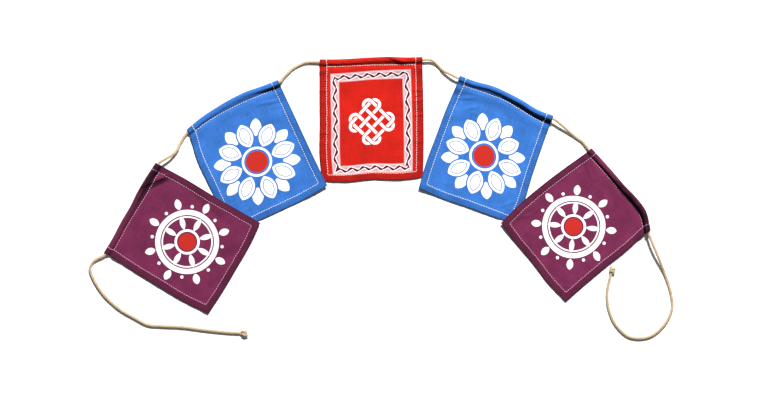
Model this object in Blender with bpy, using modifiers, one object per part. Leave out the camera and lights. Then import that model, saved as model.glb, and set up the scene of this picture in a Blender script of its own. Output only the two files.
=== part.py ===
"""Prayer flag string: five cotton flags threaded on one cord, laid out flat in an arch.

Run it with blender --background --python part.py, or from Blender's text editor.
Sizes are in millimetres and degrees, and MM turns them into Blender's metres. The origin is on the surface
under the middle of the red flag, +X to the right along the string, +Y towards the casings and +Z up.
A flag's own frame has its origin in the middle of the panel, x across it and y from foot to casing.
"""

import math
from collections import namedtuple

import bpy
from mathutils import Vector

MM = 0.001

# Cloth
PANEL_WIDTH, PANEL_HEIGHT = 126.0, 138.0
PANEL_THICK, HEM_THICK = 1.0, 1.8
HEM_WIDTH, HEM_STEP = 7.2, 1.0
CLEARANCE = 0.6

# Cord
CORD_RADIUS = 1.8
CORD_REST_HEIGHT = 1.95

# Casing: a sleeve round the cord, drawn down to a seam. Depths run down from the folded edge.
SLEEVE_RADIUS = 2.6
AXIS_DEPTH = PANEL_THICK + SLEEVE_RADIUS
SEAM_GAP = 1.3
BACK_HEM_SHORT = 0.8
SLEEVE_SLOPE = (0.3, 0.6, 0.85, 1.0)
SLEEVE_TURN = (45, 90, 135, 180)
PUCKER_REACH, LIFT_REACH = 14.0, 32.0

# Rows of the panel below the seam, where the cloth comes down to the surface
SEAM_ROWS = (32.0, 22.0, 14.0, 9.0, 4.0, 0.0)
PLAIN_ROWS, PLAIN_COLUMNS = 7, 8

# Where a flag lies on its neighbour
OVERLAP_MARGIN, OVERLAP_RAMP = 8.0, 18.0
OVERLAP_LIFT = HEM_THICK + CLEARANCE

# Colours, linear
PURPLE = (0.21, 0.03, 0.10)
BLUE = (0.05, 0.24, 0.78)
RED = (0.70, 0.02, 0.015)
COTTON = (0.78, 0.68, 0.50)

Fold = namedtuple("Fold", "x y heading length width height")
Flag = namedtuple(
    "Flag",
    "name colour x y turn"  # where the middle of the panel lies
    " foot_left foot_right seam_ends"  # two foot corners, and x of the seam's two ends
    " seam edge"  # height of seam and of folded edge at seven stations from left to right
    " left right foot"  # how far each side bows out at a quarter, half and three quarters
    " lift"  # height of the casing above the surface at left, middle and right
    " over folds",  # the flag that this one lies on, and the main soft folds
)

FLAGS = (
    Flag(
        name="flag_purple_left", colour=PURPLE, x=-227.4, y=-148.5, turn=59.8,
        foot_left=(-63.8, -69.3), foot_right=(63.8, -68.7), seam_ends=(-63.2, 63.2),
        seam=(69.2, 69.4, 70.0, 69.6, 69.0, 68.9, 68.2),
        edge=(78.2, 77.8, 78.8, 78.6, 79.8, 79.4, 78.0),
        left=(2.8, 2.4, 2.0), right=(0.0, 0.0, 0.8), foot=(2.0, 2.5, 2.6),
        lift=(0.5, 1.5, 6.6), over="flag_blue_left",
        folds=(Fold(-10, 44, 12, 46, 13, 1.1), Fold(-38, -40, -35, 36, 12, 0.8)),
    ),
    Flag(
        name="flag_blue_left", colour=BLUE, x=-140.4, y=-51.1, turn=24.1,
        foot_left=(-65.8, -70.3), foot_right=(65.8, -63.8), seam_ends=(-62.4, 63.2),
        seam=(60.6, 66.0, 69.2, 70.4, 70.9, 69.8, 68.2),
        edge=(69.0, 74.8, 78.4, 80.8, 81.4, 79.5, 78.4),
        left=(0.8, 1.9, 3.5), right=(-0.3, -0.2, 0.0), foot=(0.4, 1.4, 2.2),
        lift=(0.0, 0.5, 2.5), over="flag_red",
        folds=(Fold(38, 40, -14, 34, 11, 1.2), Fold(-12, 10, 65, 40, 13, 0.7)),
    ),
    Flag(
        name="flag_red", colour=RED, x=-0.3, y=-5.7, turn=0.6,
        foot_left=(-61.6, -71.5), foot_right=(61.6, -67.5), seam_ends=(-62.5, 62.5),
        seam=(69.0, 69.0, 69.6, 70.4, 70.4, 70.2, 70.0),
        edge=(78.0, 77.8, 78.6, 79.6, 80.2, 79.2, 79.4),
        left=(2.2, 1.2, 0.9), right=(1.1, 1.2, 0.8), foot=(1.6, 0.1, 1.9),
        lift=(0.3, 1.0, 2.5), over="",
        folds=(Fold(44, 26, -8, 26, 11, 0.9), Fold(46, -20, 10, 26, 11, 0.8)),
    ),
    Flag(
        name="flag_blue_right", colour=BLUE, x=137.9, y=-45.8, turn=-19.6,
        foot_left=(-63.1, -64.6), foot_right=(63.1, -66.8), seam_ends=(-61.7, 61.7),
        seam=(70.9, 71.6, 71.8, 71.2, 67.2, 62.9, 60.7),
        edge=(81.3, 81.1, 82.8, 81.4, 78.4, 74.0, 73.4),
        left=(2.2, 2.1, 1.8), right=(1.2, 0.0, -0.1), foot=(2.0, 1.0, 0.7),
        lift=(4.2, 3.4, 4.6), over="flag_red",
        folds=(Fold(-40, 40, 24, 38, 12, 1.2), Fold(30, 8, -60, 40, 13, 0.8)),
    ),
    Flag(
        name="flag_purple_right", colour=PURPLE, x=248.2, y=-132.6, turn=-50.1,
        foot_left=(-62.2, -67.0), foot_right=(62.2, -67.8), seam_ends=(-61.0, 61.0),
        seam=(67.8, 68.6, 69.2, 69.3, 70.3, 68.4, 58.2),
        edge=(76.4, 77.2, 77.7, 77.9, 79.2, 77.4, 66.9),
        left=(3.0, 3.6, 2.2), right=(-0.1, 0.1, 1.1), foot=(1.7, 1.5, 2.5),
        lift=(0.5, 3.0, 6.6), over="flag_blue_right",
        folds=(Fold(-22, 42, -18, 40, 13, 1.1), Fold(34, -44, 30, 34, 12, 0.9)),
    ),
)
FLAG_NAMED = {flag.name: flag for flag in FLAGS}

# The cord where it lies free, as x, y and height of its middle, from the left knot to the right one.
LEFT_TAIL = (
    (-161.0, -262.2, 1.95), (-174.2, -261.6, 1.95), (-202.2, -258.8, 1.95), (-230.2, -255.2, 1.95),
    (-255.3, -253.9, 1.95), (-273.4, -252.2, 1.95), (-289.6, -243.9, 1.95), (-306.4, -234.3, 1.95),
    (-320.1, -222.9, 1.95), (-328.5, -213.9, 1.95), (-336.9, -201.4, 1.95), (-342.2, -190.6, 1.95),
    (-343.5, -184.6, 1.95), (-342.3, -179.6, 2.0), (-339.2, -175.2, 2.4), (-334.0, -171.4, 3.2),
)
LINKS = (
    ((-250.7, -50.0, 9.4), (-243.4, -45.4, 7.6), (-237.2, -39.0, 4.8), (-233.3, -30.5, 2.8)),
    ((-107.6, 49.6, 4.2), (-97.2, 59.3, 2.2), (-87.0, 65.2, 2.0), (-78.7, 67.9, 2.6)),
    ((70.4, 70.9, 5.2), (76.3, 68.0, 3.4), (81.6, 63.0, 2.3), (87.8, 57.2, 4.2), (96.6, 52.4, 6.9)),
    ((228.0, -6.6, 7.4), (235.8, -12.9, 5.3), (244.0, -19.9, 2.9), (250.2, -24.6, 2.1), (256.9, -29.4, 2.6)),
)
RIGHT_TAIL = (
    (340.5, -152.2, 10.2), (346.5, -166.0, 8.8), (352.0, -178.4, 5.4), (356.5, -189.4, 2.7),
    (361.0, -201.6, 2.0), (364.7, -215.6, 1.95), (365.7, -232.8, 1.95), (357.7, -250.3, 1.95),
    (343.6, -263.9, 1.95), (328.3, -268.7, 1.95), (311.3, -265.8, 1.95), (296.2, -251.0, 1.95),
    (288.1, -231.3, 1.95), (286.7, -212.7, 1.95), (289.4, -197.6, 1.95), (291.2, -190.9, 1.95),
)

# An overhand knot's outer shape: distance from its start and girth as a multiple of the cord's
Ring = namedtuple("Ring", "along girth")
KNOT = (Ring(1.6, 1.8), Ring(3.4, 2.3), Ring(6.0, 2.3), Ring(8.2, 1.7), Ring(9.4, 1.0))

# How sparse the cord's points are: sag of a straight run from the curve, turn and length of a run
MOST_SAG, MOST_TURN, MOST_STEP = 0.42, 36.0, 40.0
CURVE_STEPS = 24
CASING_STATIONS = 6


def smooth(share):
    """Eases 0 to 1, flat at both ends."""
    share = min(1.0, max(0.0, share))
    return share * share * (3 - 2 * share)


def spline(before, start, end, after, share):
    """Catmull-Rom curve between start and end."""
    return 0.5 * (
        2 * start
        + (end - before) * share
        + (2 * before - 5 * start + 4 * end - after) * share**2
        + (3 * start - before - 3 * end + after) * share**3
    )


def through(stations, share):
    """The smooth curve through evenly spaced stations, read at a share from 0 to 1."""
    last = len(stations) - 1
    at = min(max(share, 0.0), 1.0) * last
    first = min(int(at), last - 1)
    start, end = stations[first], stations[first + 1]
    before = stations[first - 1] if first else 2 * start - end
    after = stations[first + 2] if first + 2 <= last else 2 * end - start
    return spline(before, start, end, after, at - first)


def bowed(start, end, bows, share):
    """A side from start to end that bows to its right by bows at its three quarter points."""
    run = end - start
    out = Vector((run.y, -run.x)).normalized()
    return start + run * share + out * through((0.0, *bows, 0.0), share)


def seam_at(flag, across):
    left, right = flag.seam_ends
    return Vector((left + (right - left) * across, through(flag.seam, across)))


def panel_at(flag, across, up):
    """A point of the panel between its four uneven sides, in the flag's frame."""
    foot_left, foot_right = Vector(flag.foot_left), Vector(flag.foot_right)
    seam_left, seam_right = seam_at(flag, 0), seam_at(flag, 1)
    foot = bowed(foot_left, foot_right, flag.foot, across)
    left = bowed(foot_left, seam_left, [-bow for bow in flag.left], up)
    right = bowed(foot_right, seam_right, flag.right, up)
    corners = (
        foot_left.lerp(foot_right, across) * (1 - up) + seam_left.lerp(seam_right, across) * up
    )
    return foot * (1 - up) + seam_at(flag, across) * up + left * (1 - across) + right * across - corners


def on_surface(flag, point):
    """A point of the flag's frame as it lies in the string."""
    turn = math.radians(flag.turn)
    return Vector((
        flag.x + point.x * math.cos(turn) - point.y * math.sin(turn),
        flag.y + point.x * math.sin(turn) + point.y * math.cos(turn),
    ))


def outside(flag, place):
    """How far a place is outside the flag's panel, 0 where it is on it."""
    corners = [on_surface(flag, panel_at(flag, *corner)) for corner in ((0, 0), (1, 0), (1, 1), (0, 1))]
    reach = 0.0
    for start, end in zip(corners, corners[1:] + corners[:1], strict=True):
        run = (end - start).normalized()
        reach = max(reach, (place - start).dot(Vector((run.y, -run.x))))
    return reach


def overlap_rise(flag, place):
    if not flag.over:
        return 0.0
    apart = outside(FLAG_NAMED[flag.over], place) - OVERLAP_MARGIN
    return OVERLAP_LIFT * (1 - smooth(apart / OVERLAP_RAMP))


def fold_rise(flag, point):
    """Soft ridges, each a long bump that ends on the flat."""
    rise = 0.0
    for fold in flag.folds:
        heading = math.radians(fold.heading)
        along = Vector((math.cos(heading), math.sin(heading)))
        offset = point - Vector((fold.x, fold.y))
        u = offset.dot(along) / fold.length
        v = offset.dot(Vector((-along.y, along.x))) / fold.width
        if abs(u) < 1 and abs(v) < 1:
            rise += fold.height * (1 - u * u) ** 2 * (1 - v * v) ** 2
    return rise


def lift_at(flag, across):
    return through(flag.lift, across)


def panel_rows():
    """Shares of the panel's height, foot to seam."""
    plain = PANEL_HEIGHT - SEAM_ROWS[0] - HEM_WIDTH - HEM_STEP
    heights = [0.0, HEM_WIDTH]
    heights += [HEM_WIDTH + HEM_STEP + plain * row / PLAIN_ROWS for row in range(PLAIN_ROWS)]
    heights += [PANEL_HEIGHT - below for below in SEAM_ROWS]
    return [height / PANEL_HEIGHT for height in heights]


def columns():
    """Shares of the panel's width, left to right."""
    inner = PANEL_WIDTH - 2 * (HEM_WIDTH + HEM_STEP)
    places = [0.0, HEM_WIDTH]
    places += [HEM_WIDTH + HEM_STEP + inner * column / PLAIN_COLUMNS for column in range(PLAIN_COLUMNS + 1)]
    places += [PANEL_WIDTH - HEM_WIDTH, PANEL_WIDTH]
    return [place / PANEL_WIDTH for place in places]


def sleeve_profile(depth):
    """The casing's inner face from seam to the back hem, as depth below the folded edge and height."""
    crown = SLEEVE_RADIUS * 2 + PANEL_THICK
    profile = [
        (depth - share * (depth - AXIS_DEPTH), SEAM_GAP + (crown - SEAM_GAP) * math.sin(share * math.pi / 2))
        for share in SLEEVE_SLOPE
    ]
    for degrees in SLEEVE_TURN:
        turn = math.radians(degrees)
        profile.append((
            AXIS_DEPTH - SLEEVE_RADIUS * math.sin(turn),
            PANEL_THICK + SLEEVE_RADIUS + SLEEVE_RADIUS * math.cos(turn),
        ))
    profile.append((depth - BACK_HEM_SHORT, PANEL_THICK))
    return profile


def placed(flag, point, height):
    place = on_surface(flag, point)
    return Vector((place.x, place.y, height + overlap_rise(flag, place))) * MM


def flag_surface(flag):
    """Inner face of the cloth, from the foot up the panel, over the cord and back under it."""
    across_all, up_all = columns(), panel_rows()
    rows = []
    for up in up_all:
        below = (1 - up) * PANEL_HEIGHT
        row = []
        for across in across_all:
            point = panel_at(flag, across, up)
            height = SEAM_GAP * (1 - smooth(below / PUCKER_REACH))
            height += lift_at(flag, across) * (1 - smooth(below / LIFT_REACH))
            row.append(placed(flag, point, height + fold_rise(flag, point)))
        rows.append(row)
    sleeves = []
    for across in across_all:
        seam, edge = seam_at(flag, across), through(flag.edge, across)
        lift = lift_at(flag, across)
        sleeves.append([
            placed(flag, Vector((seam.x, edge - depth)), height + lift)
            for depth, height in sleeve_profile(edge - seam.y)
        ])
    rows += [list(row) for row in zip(*sleeves, strict=True)]
    return rows, len(up_all)


def cloth_material(name, colour):
    material = bpy.data.materials.new(name)
    material.use_nodes = True
    shader = material.node_tree.nodes["Principled BSDF"]
    shader.inputs["Base Color"].default_value = (*colour, 1)
    shader.inputs["Roughness"].default_value = 0.9
    shader.inputs["Metallic"].default_value = 0.0
    return material


def grid_mesh(name, rows):
    """A mesh of four-sided faces through rows of points."""
    wide = len(rows[0])
    faces = [
        (corner, corner + 1, corner + wide + 1, corner + wide)
        for row in range(len(rows) - 1)
        for corner in range(row * wide, row * wide + wide - 1)
    ]
    mesh = bpy.data.meshes.new(name)
    mesh.from_pydata([point for row in rows for point in row], [], faces)
    mesh.shade_smooth()
    return mesh


def make_flag(flag, collection):
    rows, panel_count = flag_surface(flag)
    obj = bpy.data.objects.new(flag.name, grid_mesh(flag.name, rows))
    collection.objects.link(obj)
    wide = len(rows[0])
    hem_columns = (0, 1, wide - 2, wide - 1)
    hem = obj.vertex_groups.new(name="hem")
    hem.add(
        [
            row * wide + column
            for row in range(panel_count - 1)
            for column in range(wide)
            if row < 2 or column in hem_columns
        ],
        1.0,
        "REPLACE",
    )
    solid = obj.modifiers.new("Cloth thickness", "SOLIDIFY")
    solid.thickness = HEM_THICK * MM
    solid.offset = 1
    solid.vertex_group = hem.name
    solid.thickness_vertex_group = PANEL_THICK / HEM_THICK
    solid.use_even_offset = True
    solid.use_quality_normals = True
    obj.data.materials.append(cloth_material(flag.name + " cotton", flag.colour))
    return obj


def casing_axis(flag, across):
    """Middle of the cord inside the flag's casing."""
    seam, edge = seam_at(flag, across), through(flag.edge, across)
    place = on_surface(flag, Vector((seam.x, edge - AXIS_DEPTH)))
    return Vector((place.x, place.y, PANEL_THICK + SLEEVE_RADIUS + lift_at(flag, across)))


def cord_route():
    """All the points that the cord goes through, from the left knot to the right one."""
    stretches = [LEFT_TAIL, *LINKS, RIGHT_TAIL]
    route = [Vector(point) for point in stretches[0]]
    for flag, stretch in zip(FLAGS, stretches[1:], strict=True):
        route += [casing_axis(flag, station / CASING_STATIONS) for station in range(CASING_STATIONS + 1)]
        route += [Vector(point) for point in stretch]
    return route


def evened(route):
    """Points of the smooth curve through the route, as few as its bends allow."""
    ends = [2 * route[0] - route[1], *route, 2 * route[-1] - route[-2]]
    fine = [
        spline(*ends[index : index + 4], step / CURVE_STEPS)
        for index in range(len(route) - 1)
        for step in range(CURVE_STEPS)
    ] + [route[-1]]
    kept, turned, gone = [fine[0]], 0.0, 0.0
    for before, here, after in zip(fine, fine[1:], fine[2:], strict=False):
        gone += (here - before).length
        turned += (here - before).angle(after - here)
        if gone * turned / 8 > MOST_SAG or turned > math.radians(MOST_TURN) or gone > MOST_STEP:
            kept.append(here)
            turned = gone = 0.0
    return [*kept, fine[-1]]


def knot_rings(end, heading):
    """The cord's last rings, swollen to the outside of an overhand knot, resting on the surface."""
    heading = Vector((heading.x, heading.y, 0)).normalized()
    rest = CORD_REST_HEIGHT - CORD_RADIUS
    return [
        (Vector((end.x, end.y, ring.girth * CORD_RADIUS + rest)) + heading * ring.along, ring.girth)
        for ring in KNOT
    ]


def make_cord(collection):
    line = evened(cord_route())
    rings = [(point, 1.0) for point in line]
    left = knot_rings(line[0], line[0] - line[1])
    right = knot_rings(line[-1], line[-1] - line[-2])
    rings = left[::-1] + rings + right
    curve = bpy.data.curves.new("cord", "CURVE")
    curve.dimensions = "3D"
    curve.bevel_depth = CORD_RADIUS * MM
    curve.bevel_resolution = 2
    curve.use_fill_caps = True
    path = curve.splines.new("POLY")
    path.points.add(len(rings) - 1)
    for place, (point, girth) in zip(path.points, rings, strict=True):
        place.co = (*(point * MM), 1)
        place.radius = girth
    curve.materials.append(cloth_material("undyed cotton cord", COTTON))
    obj = bpy.data.objects.new("cord", curve)
    collection.objects.link(obj)
    return obj


def clear_scene():
    for obj in list(bpy.data.objects):
        bpy.data.objects.remove(obj, do_unlink=True)


def main():
    clear_scene()
    collection = bpy.data.collections.new("Prayer flag string")
    bpy.context.scene.collection.children.link(collection)
    for flag in FLAGS:
        make_flag(flag, collection)
    make_cord(collection)


main()
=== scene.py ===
"""Looks of a string of cotton prayer flags laid flat in an arch: cloth, print, stitching, cord and knots.

Sizes in the tables are millimetres and degrees, and MM turns them into metres. The origin is on the surface
under the middle of the red flag, +X to the right along the string, +Y towards the casings and +Z up.
"""

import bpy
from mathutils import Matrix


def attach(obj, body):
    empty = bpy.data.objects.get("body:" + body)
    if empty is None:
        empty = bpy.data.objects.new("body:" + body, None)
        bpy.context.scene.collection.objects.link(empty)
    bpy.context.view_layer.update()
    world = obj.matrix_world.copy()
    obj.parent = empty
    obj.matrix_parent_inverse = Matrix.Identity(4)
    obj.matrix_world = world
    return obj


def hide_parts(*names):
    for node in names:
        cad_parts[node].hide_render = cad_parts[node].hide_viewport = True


bl_info = {
    "name": "Prayer Flag String",
    "version": (1, 0, 0),
    "blender": (4, 5, 0),
    "location": "3D View > Sidebar > Flag String",
    "description": "Sews, prints and threads a string of cotton prayer flags over its CAD frame",
    "category": "Object",
}

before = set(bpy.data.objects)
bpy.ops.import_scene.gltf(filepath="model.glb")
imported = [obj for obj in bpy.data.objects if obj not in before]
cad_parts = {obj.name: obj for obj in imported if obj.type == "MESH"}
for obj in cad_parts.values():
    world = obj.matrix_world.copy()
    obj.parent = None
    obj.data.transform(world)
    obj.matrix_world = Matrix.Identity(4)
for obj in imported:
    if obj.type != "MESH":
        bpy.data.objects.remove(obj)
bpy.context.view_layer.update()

import bisect
import math
import random
from collections import namedtuple

import bpy
from bpy.props import FloatProperty, FloatVectorProperty, PointerProperty
from mathutils import Vector, noise

MM = 0.001

# Cloth
PANEL_WIDTH, PANEL_HEIGHT = 126.0, 138.0
HEM_WIDTH = 9.0
HEM_STEP = 1.6
STITCH_INSET = 8.3
REST = 0.08
PUCKER_WIDTH = 6.0

# Cord, and a casing with the cord's middle so far below its folded edge and above the surface
CORD_RADIUS = 1.72
AXIS_DEPTH = 3.6
AXIS_HEIGHT = 3.05
BACK_HEM_SHORT = 0.8
SEAM_PUCKER = 0.9
OVERLAP_MARGIN, OVERLAP_RAMP, OVERLAP_LIFT = 8.0, 18.0, 2.1

# A fold, crease or lap: its middle and heading in the flag's frame, half its length and width, and its height
Fold = namedtuple("Fold", "x y heading length width height")
Flag = namedtuple(
    "Flag",
    "name kind x y turn"  # where the middle of the panel lies
    " foot_left foot_right seam_ends"  # two foot corners, and x of the seam's two ends
    " seam edge"  # height of seam and of folded edge at seven stations from left to right
    " left right foot"  # how far each side bows out at a quarter, half and three quarters
    " lift"  # height of the casing above the surface at left, middle and right
    " pull"  # how much of that lift the seam and the cloth below it take on
    " tight"  # 1 where the casing is drawn tight under the cord, 0 where it slopes down to the seam, and 1 where painted shade darkens its top fully, both at seven stations
    " rolled"  # and 1 where its top is rolled in and lies in its own shade, both at seven stations
    " over folds creases laps",  # the flag that this one lies on, soft folds, sharper creases and laps
)

# How much painted shade darkens a casing's top: none
NO_PAINTED_TOP_SHADE = (0.0, 0.0, 0.0, 0.0, 0.0, 0.0, 0.0)
FLAGS = (
    Flag(
        name="flag_purple_left", kind="purple", x=-227.4, y=-148.5, turn=59.8,
        foot_left=(-63.8, -69.3), foot_right=(63.8, -68.7), seam_ends=(-63.2, 63.2),
        seam=(69.2, 69.4, 70.0, 69.6, 69.0, 68.9, 68.2),
        edge=(78.2, 77.8, 78.8, 78.6, 79.8, 79.4, 78.0),
        left=(2.8, 2.4, 2.0), right=(0.0, 0.0, 0.8), foot=(2.0, 2.5, 2.6),
        lift=(0.2, 1.2, 7.0), pull=(0.1, 0.1, 0.2),
        tight=(0.1, 0.0, 0.1, 0.3, 0.8, 1.0, 0.7),
        rolled=(0.0, 0.0, 0.0, 0.1, 0.3, 0.9, 0.9),
        over="flag_blue_left",
        folds=(
            Fold(-10, 44, 12, 46, 13, 1.1), Fold(-38, -40, -35, 36, 12, 0.9), Fold(54, -16, 86, 40, 10, 1.3),
        ),
        creases=(
            Fold(51, 63, -45, 15, 5, 1.6), Fold(36, 52, 10, 22, 3.5, 0.6), Fold(-52, -10, 80, 16, 3, 0.4),
        ),
        laps=(Fold(40, 76, -8, 24, 5, 1.0), Fold(41.7, 67.6, -34.6, 19, 11, 2.4)),
    ),
    Flag(
        name="flag_blue_left", kind="blue", x=-140.4, y=-51.1, turn=24.1,
        foot_left=(-65.8, -70.3), foot_right=(65.8, -63.8), seam_ends=(-62.4, 63.2),
        seam=(60.6, 66.0, 69.2, 70.4, 70.9, 69.8, 68.2),
        edge=(69.0, 74.8, 78.4, 80.8, 81.4, 79.5, 78.4),
        left=(0.8, 1.9, 3.5), right=(-0.3, -0.2, 0.0), foot=(0.4, 1.4, 2.2),
        lift=(0.0, 0.2, 2.6), pull=(0.1, 0.1, 0.1),
        tight=(0.0, 0.0, 0.0, 0.0, 0.0, 0.7, 1.0),
        rolled=NO_PAINTED_TOP_SHADE,
        over="flag_red",
        folds=(Fold(38, 40, -14, 34, 11, 1.2), Fold(-12, 10, 65, 40, 13, 0.7)),
        creases=(Fold(42, 58, -12, 20, 3.5, 1.0), Fold(50, 49, -8, 14, 3, 0.6), Fold(54, -20, 4, 9, 3, 0.5)),
        laps=(Fold(54, 72.6, 0, 12, 3.6, 1.8),),
    ),
    Flag(
        name="flag_red", kind="red", x=-0.3, y=-5.7, turn=0.6,
        foot_left=(-61.6, -71.5), foot_right=(61.6, -67.5), seam_ends=(-62.5, 62.5),
        seam=(69.0, 69.0, 69.6, 70.4, 70.4, 70.2, 70.0),
        edge=(78.0, 77.8, 78.6, 79.6, 80.2, 79.2, 79.4),
        left=(2.2, 1.2, 0.9), right=(1.1, 1.2, 0.8), foot=(1.6, 0.1, 1.9),
        lift=(0.0, 0.5, 2.2), pull=(0.1, 0.5, 0.6),
        tight=(0.0, 0.0, 0.0, 0.0, 0.3, 0.6, 0.2),
        rolled=NO_PAINTED_TOP_SHADE,
        over="",
        folds=(Fold(44, 26, -8, 26, 11, 0.9), Fold(46, -20, 10, 26, 11, 0.8)),
        creases=(
            Fold(56, 39, -4, 10, 2.2, 1.1), Fold(57, 33, 5, 9, 2.0, 0.9), Fold(57, 26, 2, 9, 2.2, 0.9),
            Fold(57, 9, 2, 10, 2.2, 1.0), Fold(-57, 40, 6, 9, 2.2, 0.8), Fold(-57, -12, -4, 9, 2.2, 0.8),
            Fold(57, -24, -3, 8, 2.0, 0.7), Fold(30, 63, 4, 12, 2.4, 0.5),
        ),
        laps=(Fold(34, 74, -18.6, 17, 4.0, 2.2),),
    ),
    Flag(
        name="flag_blue_right", kind="blue", x=137.9, y=-45.8, turn=-19.6,
        foot_left=(-63.1, -64.6), foot_right=(63.1, -66.8), seam_ends=(-61.7, 61.7),
        seam=(70.9, 71.6, 71.8, 71.2, 67.2, 62.9, 60.7),
        edge=(81.3, 81.1, 82.8, 81.4, 78.4, 74.0, 73.4),
        left=(2.2, 2.1, 1.8), right=(1.2, 0.0, -0.1), foot=(2.0, 1.0, 0.7),
        lift=(4.4, 3.4, 5.2), pull=(0.75, 0.35, 0.1),
        tight=(0.1, 0.2, 0.5, 0.8, 1.0, 1.0, 1.0),
        rolled=NO_PAINTED_TOP_SHADE,
        over="flag_red",
        folds=(Fold(-40, 40, 24, 38, 12, 1.2), Fold(30, 8, -60, 40, 13, 0.8)),
        creases=(
            Fold(-46, 58, 18, 18, 3.5, 1.0), Fold(-34, 50, 30, 18, 3.2, 0.8), Fold(46, -46, 40, 16, 3, 0.6),
        ),
        laps=(),
    ),
    Flag(
        name="flag_purple_right", kind="purple", x=248.2, y=-132.6, turn=-50.1,
        foot_left=(-62.2, -67.0), foot_right=(62.2, -67.8), seam_ends=(-61.0, 61.0),
        seam=(67.8, 68.6, 69.2, 69.3, 70.3, 68.4, 58.2),
        edge=(76.4, 77.2, 77.7, 77.9, 79.2, 77.4, 66.9),
        left=(3.0, 3.6, 2.2), right=(-0.1, 0.1, 1.1), foot=(1.7, 1.5, 2.5),
        lift=(0.4, 3.4, 7.0), pull=(0.2, 0.1, 0.1),
        tight=(0.2, 0.6, 1.0, 1.0, 1.0, 1.0, 1.0),
        rolled=(0.0, 0.0, 0.2, 0.7, 0.9, 1.0, 1.0),
        over="flag_blue_right",
        folds=(
            Fold(-8, 51, -20, 28, 10, 1.3), Fold(34, -50, 8, 30, 9, 1.1), Fold(-57, -42, 88, 26, 8, 1.1),
            Fold(10, 0, 35, 50, 14, 0.7),
        ),
        creases=(
            Fold(-40, 56, -20, 20, 3.5, 1.0), Fold(-50, -40, 60, 16, 3, 0.6), Fold(50, -54, 36, 14, 3, 0.6),
        ),
        laps=(Fold(51, 71.8, -33, 19, 6, 0.6), Fold(4, 75.5, 6, 22, 3.4, 1.0)),
    ),
)

# The cord where it lies free, as x, y and height of its middle, from the left knot to the right one
LEFT_TAIL = (
    (-161.0, -262.2, 1.95), (-174.2, -261.6, 1.95), (-202.2, -258.8, 1.95), (-230.2, -255.2, 1.95),
    (-255.3, -253.9, 1.95), (-273.4, -252.2, 1.95), (-289.6, -243.9, 1.95), (-306.4, -234.3, 1.95),
    (-320.1, -222.9, 1.95), (-328.5, -213.9, 1.95), (-336.9, -201.4, 1.95), (-342.2, -190.6, 1.95),
    (-343.5, -184.6, 1.95), (-342.3, -179.6, 2.0), (-339.2, -175.2, 2.4), (-334.0, -171.4, 3.2),
)
LINKS = (
    ((-250.7, -50.0, 9.4), (-243.4, -45.4, 7.6), (-237.2, -39.0, 4.8), (-233.3, -30.5, 2.8)),
    ((-107.6, 49.6, 4.2), (-97.2, 59.3, 2.2), (-87.0, 65.2, 2.0), (-78.7, 67.9, 2.6)),
    ((70.4, 70.9, 5.2), (76.3, 68.0, 3.4), (81.6, 63.0, 2.3), (87.8, 57.2, 4.2), (96.6, 52.4, 6.9)),
    ((228.0, -6.6, 7.4), (235.8, -12.9, 5.3), (244.0, -19.9, 2.9), (250.2, -24.6, 2.1), (256.9, -29.4, 2.6)),
)
RIGHT_TAIL = (
    (340.5, -152.2, 10.2), (346.5, -166.0, 8.8), (352.0, -178.4, 5.4), (356.5, -189.4, 2.7),
    (361.0, -201.6, 2.0), (364.7, -215.6, 1.95), (365.7, -232.8, 1.95), (357.7, -250.3, 1.95),
    (343.6, -263.9, 1.95), (328.3, -268.7, 1.95), (311.3, -265.8, 1.95), (296.2, -251.0, 1.95),
    (288.1, -231.3, 1.95), (286.7, -212.7, 1.95), (289.4, -197.6, 1.95), (291.2, -190.9, 1.95),
)
CASING_STATIONS = 6

# Camera: straight above, as wide as the photograph
VIEW_MIDDLE = (12.2, -100.0)
VIEW_WIDTH = 932.1
LENS, SENSOR = 85.0, 36.0

# Stage, in metres, degrees and watts: a small key light from the top of the picture and a weak, wide fill
Lamp = namedtuple("Lamp", "name azimuth elevation size power")
LAMPS = (
    Lamp("key light", azimuth=77.0, elevation=48.5, size=0.45, power=178.0),
    Lamp("fill light", azimuth=60.0, elevation=80.0, size=2.6, power=3.0),
)
LAMP_AIM, LAMP_DISTANCE = (0.0, -0.1, 0.0), 3.0
SKY_STRENGTH = 0.10
FLOOR_WIDTH = 14.0


def linear(hex_code):
    """A linear colour from an sRGB hex value."""
    parts = [int(hex_code[place : place + 2], 16) / 255 for place in (0, 2, 4)]
    return tuple(part / 12.92 if part <= 0.04045 else ((part + 0.055) / 1.055) ** 2.4 for part in parts)


class FlagStringSizes(bpy.types.PropertyGroup):
    cloth_thickness: FloatProperty(
        name="Cloth thickness", description="Thickness of one layer of cotton",
        default=0.45 * MM, unit="LENGTH", precision=5,
    )
    hem_thickness: FloatProperty(
        name="Hem thickness", description="Thickness of the turned and stitched hems",
        default=1.0 * MM, unit="LENGTH", precision=5,
    )
    grid_step: FloatProperty(
        name="Grid step", description="Distance between the cloth's mesh points",
        default=1.15 * MM, unit="LENGTH", precision=5,
    )
    stitch_pitch: FloatProperty(
        name="Stitch pitch", description="Distance from one stitch to the next",
        default=3.0 * MM, unit="LENGTH", precision=5,
    )
    stitch_length: FloatProperty(
        name="Stitch length", description="Visible length of one stitch",
        default=2.4 * MM, unit="LENGTH", precision=5,
    )
    thread_radius: FloatProperty(
        name="Thread radius", description="Half the sewing thread's thickness",
        default=0.36 * MM, unit="LENGTH", precision=5,
    )
    cord_lay: FloatProperty(
        name="Cord lay", description="Length of cord in which a ply goes round once",
        default=10.5 * MM, unit="LENGTH", precision=4,
    )


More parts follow.
